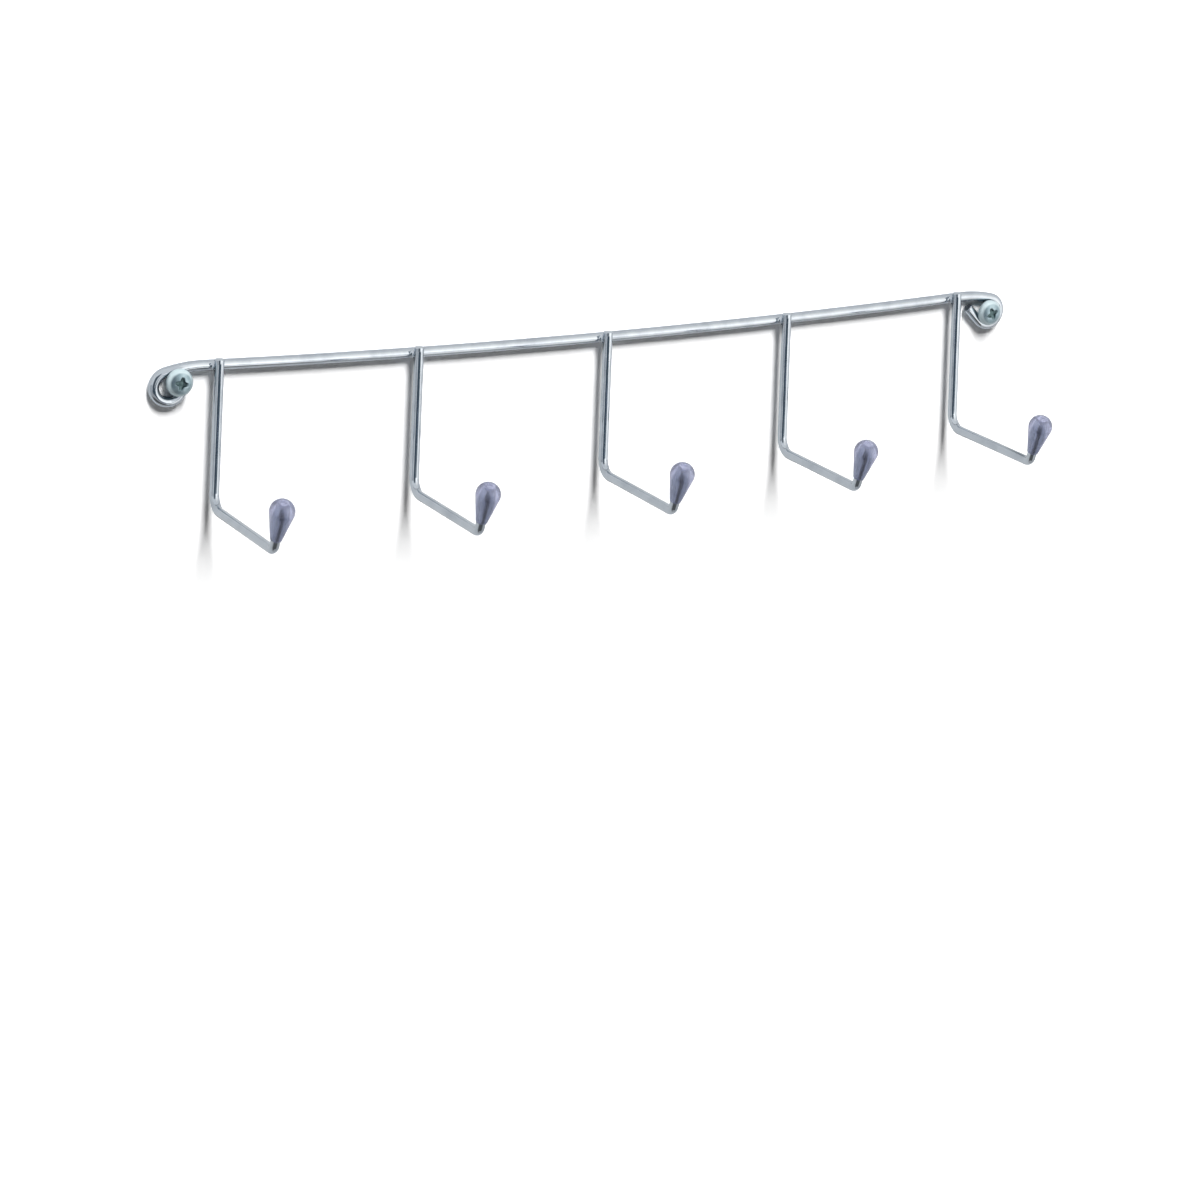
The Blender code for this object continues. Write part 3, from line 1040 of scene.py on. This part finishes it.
@dataclass(frozen=True)
class Card:
    """A studio card that stands round the rack and that only its reflections see.

    The card is a piece of a ball round the rack, so its size is given in degrees. Its levels are
    pairs of elevation and brightness from its lower edge up, and fade to a share at its right edge.
    """

    name: str
    azimuths: tuple[float, float]
    levels: tuple[tuple[float, float], ...]
    tint: tuple[float, float, float] = (1.0, 1.0, 1.0)
    right_share: float = 1.0
    distance: float = 2.2
    on_metal: bool = True
    through_vinyl: bool = False
    step: ClassVar[float] = 5.0

    def grid(self) -> tuple[list[float], list[float]]:
        """Gives the azimuths and the elevations of the card's points, in degrees."""
        low, high = self.levels[0][0], self.levels[-1][0]
        left, right = self.azimuths
        columns, rows = (math.ceil(span / self.step) + 1 for span in (right - left, high - low))
        return np.linspace(left, right, columns).tolist(), np.linspace(low, high, rows).tolist()

    def glow(self, azimuth: float, elevation: float) -> Rgba:
        """Finds the card's light at a place on it.

        Args:
            azimuth: The place's azimuth, in degrees.
            elevation: Its elevation, in degrees.

        Returns:
            The linear colour, with alpha 1.
        """
        left, right = self.azimuths
        share = 1.0 + (self.right_share - 1.0) * (azimuth - left) / (right - left)
        level = share * float(np.interp(elevation, *zip(*self.levels)))
        red, green, blue = (level * part for part in self.tint)
        return red, green, blue, 1.0


@dataclass(frozen=True)
class Softbox:
    """A soft strip light that looks at the rack; its level is what it gives a wall that faces it."""

    name: str
    azimuth: float
    elevation: float
    distance: float
    size: tuple[float, float]
    level: float


@dataclass
class Studio:
    """The white wall, the pale floor, the soft light, the cards and the camera."""

    wall_size: float = 6.0
    floor_drop: float = 1.3
    wall_white: str = "#EDEDED"
    floor_pale: str = "#787878"
    # The lit wall shows this much paler to the camera, so that it is bare white but keeps shadows.
    wall_gain: float = 1.85
    # The shares of the bare white that metal mirrors and that vinyl lets through.
    wall_on_metal: float = 0.06
    floor_on_metal: float = 0.4
    through_vinyl: float = 0.6
    ambient: float = 0.005
    aim: Vector = field(default_factory=lambda: Vector((0.0, -0.02, -0.02)))
    camera_place: Vector = field(default_factory=lambda: Vector((-0.5132, -0.93865, 0.26431)))
    yaw: float = math.radians(28.84)
    pitch: float = math.radians(18.02)
    roll: float = math.radians(2.24)
    lens_mm: float = 105.36
    sensor_mm: float = 36.0
    clip_start: float = 0.01
    key: Softbox = Softbox(
        "key_strip", azimuth=math.radians(0.5), elevation=math.radians(53.0), distance=4.0,
        size=(1.25, 2.1), level=1.5,
    )
    cards: tuple[Card, ...] = (
        Card(
            "bright_room_card", (13.0, 62.0),
            ((-48.0, 1.15), (-27.0, 1.7), (-9.0, 2.2), (8.0, 2.1), (32.0, 1.6), (62.0, 1.35)),
            (1.0, 0.97, 0.93), right_share=0.68, distance=1.6,
        ),
        Card(
            "grey_front_card", (18.0, 32.0), ((-21.5, 0.78), (-14.0, 0.78)), (0.94, 1.0, 1.05),
            distance=1.5,
        ),
        Card(
            "dark_front_card", (-42.0, 18.0), ((-25.0, 0.12), (-11.0, 0.12)), (0.75, 1.0, 1.25),
            distance=1.55,
        ),
        Card("camera_side_card", (-44.0, -6.0), ((-11.0, 0.14), (32.0, 0.2)), (0.85, 1.0, 1.15)),
        Card("left_card", (-130.0, -52.0), ((-34.0, 0.6), (4.0, 0.6)), (1.0, 1.03, 1.07)),
        Card("low_front_card", (-75.0, 28.0), ((-64.0, 0.13), (-39.0, 0.13)), distance=1.2),
        # A dark card seen only through the caps, which paints a dark streak into their core.
        Card(
            "low_card_for_vinyl", (-92.0, 30.0), ((-64.0, 0.04), (-34.0, 0.04)), (0.85, 1.0, 1.4),
            distance=1.2, on_metal=False, through_vinyl=True,
        ),
    )

    @staticmethod
    def direction(azimuth: float, elevation: float) -> Vector:
        """Gives the direction from the rack towards a place in the room.

        Args:
            azimuth: Angle to the right of straight ahead of the wall.
            elevation: Angle above the horizon.

        Returns:
            The unit direction.
        """
        level = math.cos(elevation)
        return Vector((math.sin(azimuth) * level, -math.cos(azimuth) * level, math.sin(elevation)))

    def _sheet(self, name: str, rows: Sequence[Sequence[Vector]]) -> Object:
        """Makes a stage sheet from rows of points.

        Args:
            name: Its name.
            rows: Rows of equally many points.

        Returns:
            The sheet, linked to the scene.
        """
        width = len(rows[0])
        points = [point for row in rows for point in row]
        faces = [(k - 1, k, k + width, k + width - 1) for k in range(len(points) - width) if k % width]
        mesh = bpy.data.meshes.new(name)
        mesh.from_pydata(points, [], faces)
        sheet = put_in_scene(name, mesh)
        return sheet

    def _seen(self, tree: NodeTree, on_metal: float) -> NodeSocket:
        """Finds how fully a sheet shows as the bare white background.

        Args:
            tree: The sheet's node tree.
            on_metal: The share of it that metal shows.

        Returns:
            1 for the camera, and a share of it on metal and through vinyl.
        """
        rays = add_node(tree, "LightPath").outputs
        seen = rays["Is Camera Ray"]
        for kind, share in (("Is Glossy Ray", on_metal), ("Is Transmission Ray", self.through_vinyl)):
            terms = {0: rays[kind], 1: share, 2: seen}
            seen = add_node(tree, "Math", terms, operation="MULTIPLY_ADD").outputs[0]
        return seen

    def _one_sided(self, tree: NodeTree, front: NodeSocket) -> None:
        """Ends a sheet's material, which is clear from behind.

        Args:
            tree: The sheet's node tree.
            front: The shader of its front.
        """
        clear = add_node(tree, "BsdfTransparent").outputs[0]
        behind = add_node(tree, "NewGeometry").outputs["Backfacing"]
        surface = add_node(tree, "MixShader", {0: behind, 1: front, 2: clear}).outputs[0]
        add_node(tree, "OutputMaterial", {"Surface": surface})

    def wall_paint(self) -> Material:
        """Makes the wall's matt white paint, which keeps the rack's shadow."""
        material, tree = new_material("matt_white_wall")
        plain = linear(self.wall_white)
        pale = (*(self.wall_gain * level for level in plain[:3]), 1.0)
        shown = blend(tree, self._seen(tree, self.wall_on_metal), plain, pale)
        self._one_sided(tree, add_node(tree, "BsdfDiffuse", {"Color": shown}).outputs[0])
        return material

    def floor_paint(self) -> Material:
        """Makes the floor's matt paint, far below the rack, which shows as bare white."""
        material, tree = new_material("matt_pale_floor")
        paint = add_node(tree, "BsdfDiffuse", {"Color": linear(self.floor_pale)}).outputs[0]
        white = add_node(tree, "Emission", {"Color": (1.0, 1.0, 1.0, 1.0)}).outputs[0]
        seen = self._seen(tree, self.floor_on_metal)
        self._one_sided(tree, add_node(tree, "MixShader", {0: seen, 1: paint, 2: white}).outputs[0])
        return material

    def build_backdrop(self) -> None:
        """Builds the wall that the rack hangs on and the floor below it."""
        half, low, high = 0.5 * self.wall_size, -self.floor_drop, self.wall_size - self.floor_drop
        edges = ((0.0, low), (0.0, high), (-self.wall_size, low))
        foot, top, front = ([Vector((x, y, z)) for x in (-half, half)] for y, z in edges)
        self._sheet("wall", (foot, top)).data.materials.append(self.wall_paint())
        self._sheet("floor", (front, foot)).data.materials.append(self.floor_paint())

    def build_cards(self) -> None:
        """Hangs the cards that give the bright wire its dark and light lines."""
        material, tree = new_material("lit_card")
        shine = add_node(tree, "Emission", {"Color": carried(tree, Layer.GLOW, "Color")}).outputs[0]
        add_node(tree, "OutputMaterial", {"Surface": shine})
        for card in self.cards:
            azimuths, elevations = card.grid()
            sheet = self._sheet(card.name, [
                [
                    self.aim + card.distance * self.direction(math.radians(a), math.radians(e))
                    for a in azimuths
                ]
                for e in elevations
            ])
            light = [part for e in elevations for a in azimuths for part in card.glow(a, e)]
            glow = sheet.data.attributes.new(Layer.GLOW.value, "FLOAT_COLOR", "POINT")
            glow.data.foreach_set("color", light)
            sheet.data.materials.append(material)
            sheet.visible_camera = sheet.visible_diffuse = sheet.visible_shadow = False
            sheet.visible_glossy, sheet.visible_transmission = card.on_metal, card.through_vinyl
            LOG.info("%s: azimuth %s, elevation and level %s", card.name, card.azimuths, card.levels)

    def build_lights(self) -> None:
        """Sets the soft light and the even light of the room."""
        box = self.key
        data = bpy.data.lights.new(box.name, "AREA")
        data.shape = "RECTANGLE"
        data.size, data.size_y = box.size
        # A lamp of (pi * distance) ** 2 watts lights a sheet that faces it to level 1.
        data.energy = box.level * (math.pi * box.distance) ** 2
        lamp = put_in_scene(box.name, data)
        lamp.location = self.aim + box.distance * self.direction(box.azimuth, box.elevation)
        lamp.rotation_euler = (self.aim - lamp.location).to_track_quat("-Z", "Y").to_euler()
        lamp.visible_camera = lamp.visible_glossy = lamp.visible_transmission = False
        LOG.info("%s: %.1f W", box.name, data.energy)
        world = bpy.data.worlds.new("white_room")
        bpy.context.scene.world = world
        world.use_nodes = True
        tree = world.node_tree
        tree.nodes.clear()
        lit = add_node(tree, "LightPath").outputs["Is Diffuse Ray"]
        strength = between(tree, lit, 1.0, self.ambient)
        sky = add_node(tree, "Background", {"Color": (1.0, 1.0, 1.0, 1.0), "Strength": strength})
        add_node(tree, "OutputWorld", {"Surface": sky.outputs[0]})

    def build_camera(self) -> None:
        """Sets the camera at the photograph's view of the rack."""
        ahead = -self.direction(-self.yaw, self.pitch)
        level = Vector((math.cos(self.yaw), -math.sin(self.yaw), 0.0))
        upright = level.cross(ahead)
        right = math.cos(self.roll) * level + math.sin(self.roll) * upright
        up = math.cos(self.roll) * upright - math.sin(self.roll) * level
        data = bpy.data.cameras.new("camera")
        data.sensor_width = self.sensor_mm
        data.lens = self.lens_mm
        data.clip_start = self.clip_start
        camera = put_in_scene("camera", data)
        turn = Matrix((right, up, -ahead)).transposed().to_4x4()
        camera.matrix_world = Matrix.Translation(self.camera_place) @ turn
        bpy.context.scene.camera = camera

    def build(self) -> None:
        """Builds the whole studio."""
        bpy.context.scene.view_settings.view_transform = "Standard"
        self.build_backdrop()
        self.build_cards()
        self.build_lights()
        self.build_camera()


def main() -> None:
    """Builds the rack piece by piece and the studio round it."""
    logging.basicConfig(level=logging.INFO, format="%(name)s: %(message)s")
    Studio().build()
    finishes = {
        Slot.CHROME: ChromePlate().material(),
        Slot.ZINC: ZincPlate().material(),
        Slot.VINYL: DippedVinyl().material(),
    }
    rail = Rail()
    rail.build(finishes)
    HookRow().build(rail, finishes)
    for side, turned in SCREW_TURNS.items():
        PanHeadScrew(side, turned).build(finishes)


if __name__ == "__main__":
    main()
